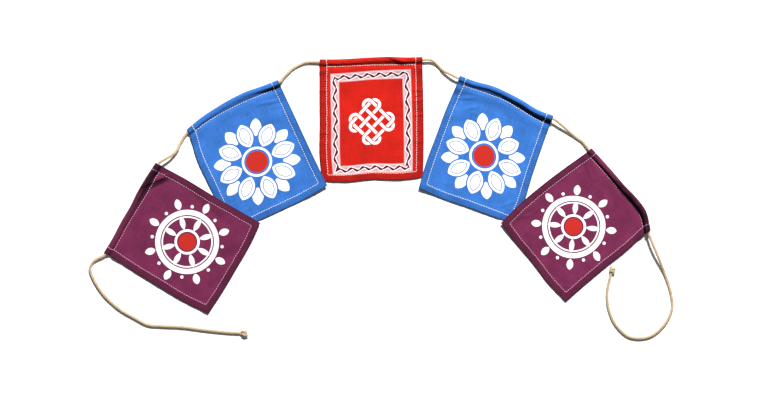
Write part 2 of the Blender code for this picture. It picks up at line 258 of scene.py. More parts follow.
class FlagStringColours(bpy.types.PropertyGroup):
    purple: FloatVectorProperty(
        name="Purple cotton", description="Dyed cloth of the outer flags",
        subtype="COLOR", default=linear("6C2447"), min=0, max=1,
    )
    blue: FloatVectorProperty(
        name="Blue cotton", description="Dyed cloth of the blue flags",
        subtype="COLOR", default=linear("3269B5"), min=0, max=1,
    )
    red: FloatVectorProperty(
        name="Red cotton", description="Dyed cloth of the middle flag",
        subtype="COLOR", default=linear("B5170B"), min=0, max=1,
    )
    print_white: FloatVectorProperty(
        name="White print", description="Opaque white ink",
        subtype="COLOR", default=linear("F6F3F4"), min=0, max=1,
    )
    print_red: FloatVectorProperty(
        name="Red print", description="Ink of the round centre of each ornament",
        subtype="COLOR", default=linear("B1261D"), min=0, max=1,
    )
    frame_pink: FloatVectorProperty(
        name="Frame print", description="Thin white ink that lets the red cloth through",
        subtype="COLOR", default=linear("BD9499"), min=0, max=1,
    )
    ribbon: FloatVectorProperty(
        name="Ribbon print", description="Dark ink of the waving ribbon",
        subtype="COLOR", default=linear("4E141C"), min=0, max=1,
    )
    cord: FloatVectorProperty(
        name="Cord cotton", description="Undyed cotton of the cord",
        subtype="COLOR", default=linear("C9B393"), min=0, max=1,
    )
    # Painted shade in the grooves between plies
    cord_shade: FloatVectorProperty(
        name="Cord grooves", description="Tan of the soiled grooves between plies",
        subtype="COLOR", default=linear("84683F"), min=0, max=1,
    )
    white_thread: FloatVectorProperty(
        name="White thread", description="Sewing thread of the blue and red flags",
        subtype="COLOR", default=linear("F2EFEA"), min=0, max=1,
    )
    pink_thread: FloatVectorProperty(
        name="Pink thread", description="Sewing thread of the purple flags",
        subtype="COLOR", default=linear("DDA9BF"), min=0, max=1,
    )
    floor: FloatVectorProperty(
        name="Floor", description="Pale floor under the string",
        subtype="COLOR", default=linear("F4F4F4"), min=0, max=1,
    )


def smooth(share):
    """Eases 0 to 1, flat at both ends."""
    share = min(1.0, max(0.0, share))
    return share * share * (3 - 2 * share)


def spline(before, start, end, after, share):
    """Catmull-Rom curve between start and end."""
    return 0.5 * (
        2 * start
        + (end - before) * share
        + (2 * before - 5 * start + 4 * end - after) * share**2
        + (3 * start - before - 3 * end + after) * share**3
    )


def through(stations, share):
    """The smooth curve through evenly spaced stations, read at a share from 0 to 1."""
    last = len(stations) - 1
    at = min(max(share, 0.0), 1.0) * last
    first = min(int(at), last - 1)
    start, end = stations[first], stations[first + 1]
    before = stations[first - 1] if first else 2 * start - end
    after = stations[first + 2] if first + 2 <= last else 2 * end - start
    return spline(before, start, end, after, at - first)


def bowed(start, end, bows, share):
    """A side from start to end that bows to its right by bows at its three quarter points."""
    run = end - start
    out = Vector((run.y, -run.x)).normalized()
    return start + run * share + out * through((0.0, *bows, 0.0), share)


def seam_at(flag, across):
    """A point of the seam under the casing, in the flag's frame."""
    left, right = flag.seam_ends
    return Vector((left + (right - left) * across, through(flag.seam, across)))


def panel_at(flag, across, up):
    """A point of the panel between its four uneven sides, in the flag's frame."""
    foot_left, foot_right = Vector(flag.foot_left), Vector(flag.foot_right)
    seam_left, seam_right = seam_at(flag, 0), seam_at(flag, 1)
    foot = bowed(foot_left, foot_right, flag.foot, across)
    left = bowed(foot_left, seam_left, [-bow for bow in flag.left], up)
    right = bowed(foot_right, seam_right, flag.right, up)
    corners = foot_left.lerp(foot_right, across) * (1 - up) + seam_left.lerp(seam_right, across) * up
    return foot * (1 - up) + seam_at(flag, across) * up + left * (1 - across) + right * across - corners


def on_surface(flag, point):
    """A point of the flag's frame as it lies in the string."""
    turn = math.radians(flag.turn)
    return Vector((
        flag.x + point.x * math.cos(turn) - point.y * math.sin(turn),
        flag.y + point.x * math.sin(turn) + point.y * math.cos(turn),
    ))


def outline_of(flag):
    """The panel's four corners and the outward direction of each side."""
    corners = [on_surface(flag, panel_at(flag, *corner)) for corner in ((0, 0), (1, 0), (1, 1), (0, 1))]
    sides = []
    for start, end in zip(corners, corners[1:] + corners[:1], strict=True):
        run = (end - start).normalized()
        sides.append((start, Vector((run.y, -run.x))))
    return sides


OUTLINES = {flag.name: outline_of(flag) for flag in FLAGS}


def outside(name, place):
    """How far a place is outside that flag's panel, 0 where it is on it."""
    return max(0.0, *((place - start).dot(out) for start, out in OUTLINES[name]))


def overlap_rise(flag, place):
    """How far the cloth is raised where it lies on another flag."""
    if not flag.over:
        return 0.0
    return OVERLAP_LIFT * (1 - smooth((outside(flag.over, place) - OVERLAP_MARGIN) / OVERLAP_RAMP))


def looseness(flag, place):
    """1 where the cloth is free to ripple, less where a neighbour lies on it and presses it flat."""
    free = 1.0
    for other in FLAGS:
        if other.over == flag.name:
            free = min(free, 0.15 + 0.85 * smooth(outside(other.name, place) / 9))
    return free


def beside(fold, point):
    """Where a point is along a fold, as a share of its half length, and how far it is to its left."""
    heading = math.radians(fold.heading)
    along = Vector((math.cos(heading), math.sin(heading)))
    offset = point - Vector((fold.x, fold.y))
    return offset.dot(along) / fold.length, offset.dot(Vector((-along.y, along.x)))


def ridge_rise(folds, point):
    """Long bumps, each ending on the flat."""
    rise = 0.0
    for fold in folds:
        u, v = beside(fold, point)
        v /= fold.width
        if abs(u) < 1 and abs(v) < 1:
            rise += fold.height * (1 - u * u) ** 2 * (1 - v * v) ** 2
    return rise


def lap_rise(laps, point):
    """Cloth that laps over at a line: it steps up to the line's left and sinks again over the lap's width."""
    rise = 0.0
    for lap in laps:
        u, v = beside(lap, point)
        if abs(u) < 1:
            step = smooth((v + 1.1) / 2.2) * (1 - smooth((v - 0.6) / lap.width))
            rise += lap.height * (1 - u * u) * step
    return rise


def lap_painted_shade(laps, point):
    """How much painted shade a place gets in the gap under the lapped cloth, from 0 to 1."""
    deepest = 0.0
    for lap in laps:
        u, v = beside(lap, point)
        if abs(u) < 1:
            under = smooth((v + 0.55 * lap.width) / 1.6) * (1 - smooth((v + 0.4) / 1.4))
            deepest = max(deepest, (1 - u**4) * under)
    return deepest


def waves(x, y, seed):
    """Even noise from 0 to 1."""
    return 0.5 + 0.5 * noise.noise(Vector((x, y, seed)))


def ripple(from_left, from_foot, seed):
    """Soft unevenness of the cloth and the puckers that the stitching draws, in millimetres."""
    from_side = min(from_left, PANEL_WIDTH - from_left)
    rise = 0.85 * waves(from_left / 46, from_foot / 46, seed)
    rise += 0.30 * waves(from_left / 15, from_foot / 15, seed + 9)
    side_pull = math.exp(-max(0.0, from_side - PUCKER_WIDTH) / PUCKER_WIDTH)
    foot_pull = math.exp(-max(0.0, from_foot - PUCKER_WIDTH) / PUCKER_WIDTH)
    rise += 0.75 * side_pull * waves(from_side / 26, from_foot / 6.5, seed + 21)
    rise += 0.55 * side_pull * waves(from_side / 14, from_foot / 3.6, seed + 27)
    rise += 0.75 * foot_pull * waves(from_left / 7.0, from_foot / 26, seed + 33)
    below = PANEL_HEIGHT - from_foot
    seam_pull = math.exp(-below / 9.0)
    rise += 0.8 * seam_pull * waves(from_left / 6.0, below / 22, seam_pull + seed + 41)
    return rise


def places_along(width, step, fine_both=True):
    """Distances from one edge, close together at the turned edges and even between them."""
    near = [0.0, 0.14, 0.45, 1.0]
    inner = width - 2.0 * near[-1]
    count = max(2, round(inner / step))
    middle = [near[-1] + inner * place / count for place in range(1, count)]
    far = [width - place for place in reversed(near)]
    return near + middle + (far if fine_both else [width - near[-1], width])


def edge_fullness(distance, thickness):
    """How much of its thickness the cloth has near a turned edge, which is round."""
    share = min(1.0, distance / (thickness * 0.6))
    return max(0.22, math.sqrt(1 - (1 - share) ** 2))


def layers_at(from_edge, sizes):
    """Thickness of the cloth that far from the nearest hemmed edge, in millimetres."""
    thin, thick = sizes.cloth_thickness / MM, sizes.hem_thickness / MM
    return thick - (thick - thin) * smooth((from_edge - HEM_WIDTH + HEM_STEP) / HEM_STEP)


# The casing's rows, counted from the seam: those of the wall up to the cord, those that face up, and the fold
WALL_ROWS, FRONT_ROWS, FOLD_ROW = 8, 14, 19


def casing_profile(depth, lift, pull, thickness, slack, tight):
    """Inner face of the casing from the seam over the cord and back under it, as depth and height."""
    axis = AXIS_HEIGHT + lift
    crown = axis + CORD_RADIUS + 0.25
    seam = thickness + SEAM_PUCKER + pull * lift
    fold = 1.2 + 0.5 * thickness + 0.92 * lift
    under = thickness + REST
    wall, high = depth - AXIS_DEPTH, crown - seam
    loose_wall = (
        (0.78 * wall, seam + 0.20 * high + slack),
        (0.56 * wall, seam + 0.42 * high + 1.3 * slack),
        (2.70, seam + 0.66 * high + 0.8 * slack),
        (1.80, seam + 0.86 * high + 0.3 * slack),
        (0.80, crown - 0.10),
    )
    tight_wall = (
        (0.78 * wall, seam + 0.05 + 0.5 * slack),
        (0.56 * wall, seam + 0.15 + 0.6 * slack),
        (2.50, axis - 1.1),
        (2.05, axis + 0.6),
        (1.05, crown - 0.25),
    )
    side = [
        (AXIS_DEPTH + inward + (tight_inward - inward) * tight, height + (tight_height - height) * tight)
        for (inward, height), (tight_inward, tight_height) in zip(loose_wall, tight_wall, strict=True)
    ]
    return [
        (depth, seam),
        *side,
        (AXIS_DEPTH - 0.5, crown - 0.05),
        (AXIS_DEPTH - 1.6, axis + 1.35),
        (AXIS_DEPTH - 2.35, axis + 0.1),
        (thickness + 0.25, fold + 0.8),
        (thickness, fold),
        (thickness + 0.5, fold - 0.6),
        (thickness + 1.6, max(fold - 1.05, under + 0.55 * lift)),
        (depth * 0.55, under + 0.3 + 0.42 * lift),
        (depth - BACK_HEM_SHORT, under + 0.5 + 0.85 * pull * lift),
    ]


def smooth_path(points, steps):
    """Points of the smooth curve through points, steps to each span, with the first and the last."""
    points = [Vector(point) for point in points]
    ends = [2 * points[0] - points[1], *points, 2 * points[-1] - points[-2]]
    fine = [
        spline(*ends[index : index + 4], step / steps)
        for index in range(len(points) - 1)
        for step in range(steps)
    ]
    return [*fine, points[-1]]


class Cloth:
    """A flag's two faces as rows of points, with what stitches and prints need to find their place."""

    def __init__(self, flag, sizes):
        step = sizes.grid_step / MM
        self.flag = flag
        self.across = places_along(PANEL_WIDTH, step)
        self.up = places_along(PANEL_HEIGHT, step, fine_both=False)
        seed = 13.7 * FLAGS.index(flag)
        self.inner, self.thick = [], []
        for from_foot in self.up:
            row, thick = [], []
            for from_left in self.across:
                from_edge = min(from_left, PANEL_WIDTH - from_left, from_foot)
                point = panel_at(flag, from_left / PANEL_WIDTH, from_foot / PANEL_HEIGHT)
                place = on_surface(flag, point)
                rise = self.panel_rise(point, place, from_left, from_foot, sizes, seed)
                row.append(Vector((place.x, place.y, rise)))
                thick.append(layers_at(from_edge, sizes))
            self.inner.append(row)
            self.thick.append(thick)
        self.reach = list(self.up)
        self.add_casing(sizes, seed)
        self.find_outer()

    def panel_rise(self, point, place, from_left, from_foot, sizes, seed):
        """Height of the panel's inner face: its rise to the seam, ripples, folds and what it lies on."""
        flag = self.flag
        free = looseness(flag, place)
        below = PANEL_HEIGHT - from_foot
        across = from_left / PANEL_WIDTH
        edge = min(from_left, PANEL_WIDTH - from_left)
        seam = layers_at(edge, sizes) + SEAM_PUCKER + through(flag.pull, across) * through(flag.lift, across)
        rise = REST + (seam - REST) * (1 - smooth(below / 17))
        loose = ripple(from_left, from_foot, seed) * smooth(below / 5)
        loose += 0.5 * (1 - smooth(from_foot / 13)) * (0.3 + 1.2 * waves(from_left / 19, 0.3, seed + 3))
        loose += 0.35 * (1 - smooth(edge / 12)) * waves(from_foot / 23, 0.7, seed + 5)
        loose += ridge_rise(flag.folds, point) + ridge_rise(flag.creases, point) + lap_rise(flag.laps, point)
        return rise + loose * free + overlap_rise(flag, place)

    def add_casing(self, sizes, seed):
        """Adds the casing's rows above the seam, and how much painted shade darkens each point of the cloth.
        """
        flag = self.flag
        columns, painted_shade_columns = [], []
        for from_left in self.across:
            across = from_left / PANEL_WIDTH
            seam, edge = seam_at(flag, across), through(flag.edge, across)
            from_side = min(from_left, PANEL_WIDTH - from_left)
            thickness = layers_at(from_side, sizes)
            slack = 0.9 * waves(from_left / 8.5, 0.2, seed + 50) * smooth(from_side / 9)
            lift, pull = through(flag.lift, across), through(flag.pull, across)
            tight, rolled = (
                min(1.0, max(0.0, through(stations, across))) for stations in (flag.tight, flag.rolled)
            )
            profile = casing_profile(edge - seam.y, lift, pull, thickness, slack, tight)
            column, gap = [], []
            for index, (depth, height) in enumerate(smooth_path(profile, 2)[1:]):
                point = Vector((seam.x, edge - depth))
                place = on_surface(flag, point)
                if index < FRONT_ROWS:
                    rough = noise.noise(Vector((from_left / 5.5, index / 3.0, seed + 60)))
                    height += max(0.45 * rough, -0.1) + lap_rise(flag.laps, point)
                column.append(Vector((place.x, place.y, height)))
                # Painted shade: the wall under a tight, lifted casing, the casing's top rows in ragged
                # patches where its stations ask for it, and the gap under each lap
                painted_wall_shade = tight * (index < WALL_ROWS) * min(1.0, lift / 2)
                ragged = 0.85 + 0.9 * noise.noise(Vector((from_left / 6.0, index / 6.0, seed + 80)))
                turned = rolled * ragged * (index >= WALL_ROWS)
                gap.append(max(painted_wall_shade, turned, lap_painted_shade(flag.laps, point) * (index < FRONT_ROWS)))
            columns.append(column)
            painted_shade_columns.append(gap)
        # Painted shade in the gap under each lap on the panel's rows, then that of the casing's rows
        self.gap = [
            [lap_painted_shade(flag.laps, panel_at(flag, x / PANEL_WIDTH, y / PANEL_HEIGHT)) for x in self.across]
            for y in self.up
        ]
        self.gap += [list(row) for row in zip(*painted_shade_columns, strict=True)]
        middle = columns[len(columns) // 2]
        for index, row in enumerate(zip(*columns, strict=True)):
            before = self.inner[-1][len(columns) // 2]
            self.reach.append(self.reach[-1] + (middle[index] - before).length)
            self.inner.append(list(row))
            self.thick.append([layers_at(min(at, PANEL_WIDTH - at), sizes) for at in self.across])

    def find_outer(self):
        """Outer face and directions, with both faces drawn in where an edge is turned."""
        rows, wide = len(self.inner), len(self.across)
        self.normal, self.outer = [], []
        grid = self.inner
        for r in range(rows):
            normals = []
            for c in range(wide):
                run = grid[r][min(c + 1, wide - 1)] - grid[r][max(c - 1, 0)]
                rise = grid[min(r + 1, rows - 1)][c] - grid[max(r - 1, 0)][c]
                normals.append(run.cross(rise).normalized())
            self.normal.append(normals)
        inner = []
        for r in range(rows):
            from_foot = self.up[r] if r < len(self.up) else PANEL_HEIGHT
            inner_row, outer_row = [], []
            for c, from_left in enumerate(self.across):
                edge = min(from_left, PANEL_WIDTH - from_left, from_foot)
                thickness = self.thick[r][c]
                full = edge_fullness(edge, thickness)
                middle = grid[r][c] + self.normal[r][c] * thickness / 2
                inner_row.append(middle - self.normal[r][c] * thickness / 2 * full)
                outer_row.append(middle + self.normal[r][c] * thickness / 2 * full)
            inner.append(inner_row)
            self.outer.append(outer_row)
        self.inner = inner

    def outside_at(self, from_left, reach):
        """Place and direction of the outer face, from the left edge and up from the foot along the cloth."""
        c = min(max(bisect.bisect_right(self.across, from_left) - 1, 0), len(self.across) - 2)
        r = min(max(bisect.bisect_right(self.reach, reach) - 1, 0), len(self.reach) - 2)
        u = (from_left - self.across[c]) / (self.across[c + 1] - self.across[c])
        v = (reach - self.reach[r]) / (self.reach[r + 1] - self.reach[r])
        found = []
        for grid in (self.outer, self.normal):
            low = grid[r][c].lerp(grid[r][c + 1], u)
            high = grid[r + 1][c].lerp(grid[r + 1][c + 1], u)
            found.append(low.lerp(high, v))
        return found[0], found[1].normalized()

    def folded_edge(self):
        """How far up along the cloth the casing's folded edge is."""
        return self.reach[len(self.up) + FOLD_ROW]


def ring_edges(first, corners):
    """The two ends of each edge round a closed ring of points that starts with point first."""
    return [(first + corner, first + (corner + 1) % corners) for corner in range(corners)]


def new_piece(name, points, faces, material):
    """A finished mesh piece from points in millimetres, which rides on the string's one body."""
    mesh = bpy.data.meshes.new(name)
    mesh.from_pydata([point * MM for point in points], [], faces)
    mesh.validate()
    mesh.shade_smooth()
    mesh.materials.append(material)
    piece = bpy.data.objects.new(name, mesh)
    bpy.context.scene.collection.objects.link(piece)
    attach(piece, "root")
    return piece


def add_shares(piece, name, shares):
    """Gives each point of a piece a value that its material reads."""
    attribute = piece.data.attributes.new(name, "FLOAT", "POINT")
    attribute.data.foreach_set("value", shares)


def add_pattern(piece, name, flat):
    """Gives a piece its flat pattern in millimetres, one place for each point, as its UV map."""
    pattern = piece.data.uv_layers.new(name=name)
    for loop in piece.data.loops:
        pattern.data[loop.index].uv = flat[loop.vertex_index]


def add_node(tree, kind, inputs=None, output=0, **settings):
    """Adds one node with its settings and links, and gives the output that is asked for."""
    node = tree.nodes.new(kind)
    for name, value in settings.items():
        setattr(node, name, value)
    for socket, value in (inputs or {}).items():
        if isinstance(value, bpy.types.NodeSocket):
            tree.links.new(value, node.inputs[socket])
        else:
            node.inputs[socket].default_value = value
    return node if output is None else node.outputs[output]


MATH, VECTOR, MIX = "ShaderNodeMath", "ShaderNodeVectorMath", "ShaderNodeMix"
SPREAD, NOISE, WAVE = "ShaderNodeMapRange", "ShaderNodeTexNoise", "ShaderNodeTexWave"

# Distance between the bands of a wave texture whose scale is 1
WAVE_PITCH = 0.3141


def new_material(name):
    """An empty material with its shader and output joined."""
    material = bpy.data.materials.new(name)
    material.use_nodes = True
    tree = material.node_tree
    tree.nodes.clear()
    shader = add_node(tree, "ShaderNodeBsdfPrincipled", output=None)
    add_node(tree, "ShaderNodeOutputMaterial", {"Surface": shader.outputs["BSDF"]}, output=None)
    return material, tree, shader


def polar_petal(tree, around, middle, half_length, half_width):
    """Distance inside a petal with two pointed ends, which lies along the first axis of around."""
    radius = (half_length**2 + half_width**2) / (2 * half_width)
    centre = (middle, half_width - radius, 0)
    far = add_node(tree, VECTOR, {0: around, 1: centre}, output="Value", operation="DISTANCE")
    return add_node(tree, MATH, {0: radius, 1: far}, operation="SUBTRACT")


def band(tree, distance, middle, half_width):
    """Distance inside a band that follows one value of distance."""
    off = add_node(tree, MATH, {0: distance, 1: middle}, operation="SUBTRACT")
    off = add_node(tree, MATH, {0: off}, operation="ABSOLUTE")
    return add_node(tree, MATH, {0: half_width, 1: off}, operation="SUBTRACT")


def folded_round(tree, place, sectors):
    """Distance from the middle, and the place folded into half a sector and into the half beside it."""
    parts = add_node(tree, "ShaderNodeSeparateXYZ", {0: place}, output=None)
    far = add_node(tree, VECTOR, {0: place}, output="Value", operation="LENGTH")
    angle = add_node(tree, MATH, {0: parts.outputs[0], 1: parts.outputs[1]}, operation="ARCTAN2")
    half = math.pi / sectors
    folded = add_node(tree, MATH, {0: angle, 1: half}, operation="PINGPONG")
    other = add_node(tree, MATH, {0: half, 1: folded}, operation="SUBTRACT")
    rounds = []
    for turn in (folded, other):
        x = add_node(tree, MATH, {0: turn}, operation="COSINE")
        y = add_node(tree, MATH, {0: turn}, operation="SINE")
        axes = add_node(tree, "ShaderNodeCombineXYZ", {0: x, 1: y, 2: 0.0})
        rounds.append(add_node(tree, VECTOR, {0: axes, "Scale": far}, operation="SCALE"))
    return far, rounds[0], rounds[1]


def widest(tree, shapes):
    """Distance inside the nearest of some shapes."""
    joined = shapes[0]
    for shape in shapes[1:]:
        joined = add_node(tree, MATH, {0: joined, 1: shape}, operation="MAXIMUM")
    return joined


def inked(tree, distance, softness=0.28):
    """1 inside a printed shape and 0 outside, with the ink's slightly soft edge."""
    return add_node(
        tree, SPREAD,
        {"Value": distance, "From Min": -softness, "From Max": softness}, output="Result",
        interpolation_type="SMOOTHSTEP",
    )


def lotus(tree, place):
    """Lotus rosette of eight petals and eight behind them: white and red coverage. Sizes in millimetres."""
    far, here, between = folded_round(tree, place, 8)
    petal = polar_petal(tree, here, 34.0, 14.5, 9.2)
    contour = band(tree, petal, 3.3, 0.5)
    contour = add_node(tree, MATH, {0: contour, 1: -1.0}, operation="MULTIPLY")
    petal_drawn = add_node(tree, MATH, {0: petal, 1: contour}, operation="MINIMUM")
    behind = polar_petal(tree, between, 41.5, 10.5, 6.6)
    clear = add_node(tree, MATH, {0: -1.7, 1: petal}, operation="SUBTRACT")
    behind = add_node(tree, MATH, {0: behind, 1: clear}, operation="MINIMUM")
    ring = band(tree, far, 16.6, 1.35)
    disc = add_node(tree, MATH, {0: 13.0, 1: far}, operation="SUBTRACT")
    return inked(tree, widest(tree, [petal_drawn, behind, ring])), inked(tree, disc)


def wheel(tree, place):
    """Wheel of eight spokes with petals and beads round it: white and red coverage. Sizes in millimetres."""
    far, here, between = folded_round(tree, place, 8)
    rim = band(tree, far, 35.0, 3.0)
    groove = band(tree, far, 29.6, 0.85)
    spoke = polar_petal(tree, here, 23.2, 8.2, 3.1)
    finial = polar_petal(tree, here, 45.5, 6.4, 4.0)
    bead = add_node(tree, VECTOR, {0: between, 1: (42.0, 0, 0)}, output="Value", operation="DISTANCE")
    bead = add_node(tree, MATH, {0: 1.9, 1: bead}, operation="SUBTRACT")
    hub = band(tree, far, 13.6, 1.4)
    disc = add_node(tree, MATH, {0: 10.4, 1: far}, operation="SUBTRACT")
    return inked(tree, widest(tree, [rim, groove, spoke, finial, bead, hub])), inked(tree, disc)


def strand_family(tree, along, across, pitch):
    """Distance from four parallel strands whose ends loop into their neighbours."""
    along = add_node(tree, MATH, {0: along}, operation="ABSOLUTE")
    wide = add_node(tree, MATH, {0: across}, operation="ABSOLUTE")
    between = add_node(tree, MATH, {0: across, 1: pitch / 2}, operation="PINGPONG")
    straight = add_node(tree, MATH, {0: pitch / 2, 1: between}, operation="SUBTRACT")
    off = add_node(tree, MATH, {0: wide, 1: pitch}, operation="SUBTRACT")
    past = add_node(tree, MATH, {0: along, 1: 1.5 * pitch}, operation="SUBTRACT")
    loop_place = add_node(tree, "ShaderNodeCombineXYZ", {0: off, 1: past, 2: 0.0})
    loop = add_node(tree, VECTOR, {0: loop_place}, output="Value", operation="LENGTH")
    loop = add_node(tree, MATH, {0: loop, 1: pitch / 2}, operation="SUBTRACT")
    loop = add_node(tree, MATH, {0: loop}, operation="ABSOLUTE")
    turning = add_node(tree, MATH, {0: past, 1: 0.0}, operation="GREATER_THAN")
    mixed = add_node(tree, MIX, {0: turning, 2: straight, 3: loop}, data_type="FLOAT")
    outside_knot = add_node(tree, MATH, {0: wide, 1: 2 * pitch}, operation="GREATER_THAN")
    return add_node(tree, MATH, {0: outside_knot, 1: 9.0, 2: mixed}, operation="MULTIPLY_ADD")


def endless_knot(tree, place, pitch=11.5, half_width=1.7, gap=1.25):
    """White coverage of an interlaced lattice knot that stands on its corner."""
    turned = add_node(
        tree, "ShaderNodeVectorRotate", {"Vector": place, "Angle": math.pi / 4}, rotation_type="Z_AXIS",
    )
    parts = add_node(tree, "ShaderNodeSeparateXYZ", {0: turned}, output=None)
    first = strand_family(tree, parts.outputs[1], parts.outputs[0], pitch)
    second = strand_family(tree, parts.outputs[0], parts.outputs[1], pitch)
    cells = []
    for axis in parts.outputs[:2]:
        cell = add_node(tree, MATH, {0: axis, 1: pitch}, operation="DIVIDE")
        cells.append(add_node(tree, MATH, {0: cell}, operation="FLOOR"))
    both = add_node(tree, MATH, {0: cells[0], 1: cells[1]}, operation="ADD")
    odd = add_node(tree, MATH, {0: both, 1: 2.0}, operation="FLOORED_MODULO")
    drawn = []
    for over, under in ((first, second), (second, first)):
        top = add_node(tree, MATH, {0: half_width, 1: over}, operation="SUBTRACT")
        clear = add_node(tree, MATH, {0: over, 1: half_width + gap}, operation="SUBTRACT")
        below = add_node(tree, MATH, {0: half_width, 1: under}, operation="SUBTRACT")
        below = add_node(tree, MATH, {0: below, 1: clear}, operation="MINIMUM")
        drawn.append(add_node(tree, MATH, {0: top, 1: below}, operation="MAXIMUM"))
    shape = add_node(tree, MIX, {0: odd, 2: drawn[0], 3: drawn[1]}, data_type="FLOAT")
    return inked(tree, shape)


# The printed frame: half its width and height, width of its band, and the ribbon's swing and half widths
FRAME_HALF_WIDTH, FRAME_HALF_HEIGHT = 49.4, 61.0
FRAME_BAND = 10.7
RIBBON_SWING, RIBBON_SLIM, RIBBON_SWELL = 1.7, 0.68, 0.95
RIBBON_HALF_WAVES = 6


def ribbon_frame(tree, place):
    """Printed frame, a little askew: coverage of its pale ground, of the white lines and of the ribbon."""
    middle = FRAME_BAND / 2
    parts = add_node(tree, "ShaderNodeSeparateXYZ", {0: place}, output=None)
    u = add_node(tree, MATH, {0: parts.outputs[1], 1: 0.012, 2: parts.outputs[0]}, operation="MULTIPLY_ADD")
    lean = add_node(tree, MATH, {0: parts.outputs[1], 1: -0.00022, 2: -0.019}, operation="MULTIPLY_ADD")
    v = add_node(tree, MATH, {0: parts.outputs[0], 1: lean, 2: parts.outputs[1]}, operation="MULTIPLY_ADD")
    sides = []
    for axis, outer in ((u, FRAME_HALF_WIDTH), (v, FRAME_HALF_HEIGHT)):
        far = add_node(tree, MATH, {0: axis}, operation="ABSOLUTE")
        sides.append(add_node(tree, MATH, {0: outer, 1: far}, operation="SUBTRACT"))
    inside = add_node(tree, MATH, {0: sides[0], 1: sides[1]}, operation="MINIMUM")
    ground = band(tree, inside, middle, middle)
    lines = []
    for along, depth, outer in ((u, sides[1], FRAME_HALF_WIDTH), (v, sides[0], FRAME_HALF_HEIGHT)):
        turn = RIBBON_HALF_WAVES * math.pi / (outer - middle)
        phase = add_node(tree, MATH, {0: along, 1: turn}, operation="MULTIPLY")
        wave = add_node(tree, MATH, {0: phase}, operation="SINE")
        swing = add_node(tree, MATH, {0: wave, 1: RIBBON_SWING, 2: middle}, operation="MULTIPLY_ADD")
        off = add_node(tree, MATH, {0: depth, 1: swing}, operation="SUBTRACT")
        off = add_node(tree, MATH, {0: off}, operation="ABSOLUTE")
        late = add_node(tree, MATH, {0: phase, 1: 0.9}, operation="ADD")
        body = add_node(tree, MATH, {0: late}, operation="SINE")
        body = add_node(tree, MATH, {0: body}, operation="ABSOLUTE")
        width = add_node(tree, MATH, {0: body, 1: RIBBON_SWELL, 2: RIBBON_SLIM}, operation="MULTIPLY_ADD")
        ribbon = add_node(tree, MATH, {0: width, 1: off}, operation="SUBTRACT")
        past = add_node(tree, MATH, {0: off, 1: width}, operation="SUBTRACT")
        lines.append((ribbon, band(tree, past, 0.55, 0.42)))
    side = add_node(tree, MATH, {0: sides[0], 1: sides[1]}, operation="LESS_THAN")
    drawn = []
    for top_line, side_line in zip(*lines, strict=True):
        line = add_node(tree, MIX, {0: side, 2: top_line, 3: side_line}, data_type="FLOAT")
        drawn.append(add_node(tree, MATH, {0: line, 1: ground}, operation="MINIMUM"))
    pinstripes = widest(tree, [band(tree, inside, 1.3, 0.1), band(tree, inside, 9.4, 0.1), drawn[1]])
    return inked(tree, ground), inked(tree, pinstripes), inked(tree, drawn[0], 0.22)


def prints(tree, kind, flat, colours):
    """The inks of one kind of flag in the order of printing, each as its coverage and colour."""
    centre = add_node(tree, VECTOR, {0: flat, 1: (0.0, PRINT_MIDDLE[kind], 0.0)}, operation="SUBTRACT")
    if kind == "red":
        ground, white_lines, ribbon = ribbon_frame(tree, centre)
        return (
            (ground, colours.frame_pink), (white_lines, colours.print_white), (ribbon, colours.ribbon),
            (endless_knot(tree, centre), colours.print_white),
        )
    white, red = (lotus if kind == "blue" else wheel)(tree, centre)
    return (white, colours.print_white), (red, colours.print_red)


# Cotton by the flag's kind: height of its print's middle, its darkest cloud and its tone where it lies double
PRINT_MIDDLE = {"purple": -2.0, "blue": -3.0, "red": 1.0}
CLOUD_TONE = {"purple": 0.74, "blue": 0.81, "red": 0.81}
HEM_TONE = {"purple": 0.60, "blue": 0.80, "red": 0.70}
# Darkest tone of the rim's painted shade, which stands also for some wear, and of the painted shade in the
# gap
RIM_SHADE_AND_WEAR_TONE, PAINTED_SHADE_TONE = 0.55, 0.22
THREAD_PITCH = 0.7


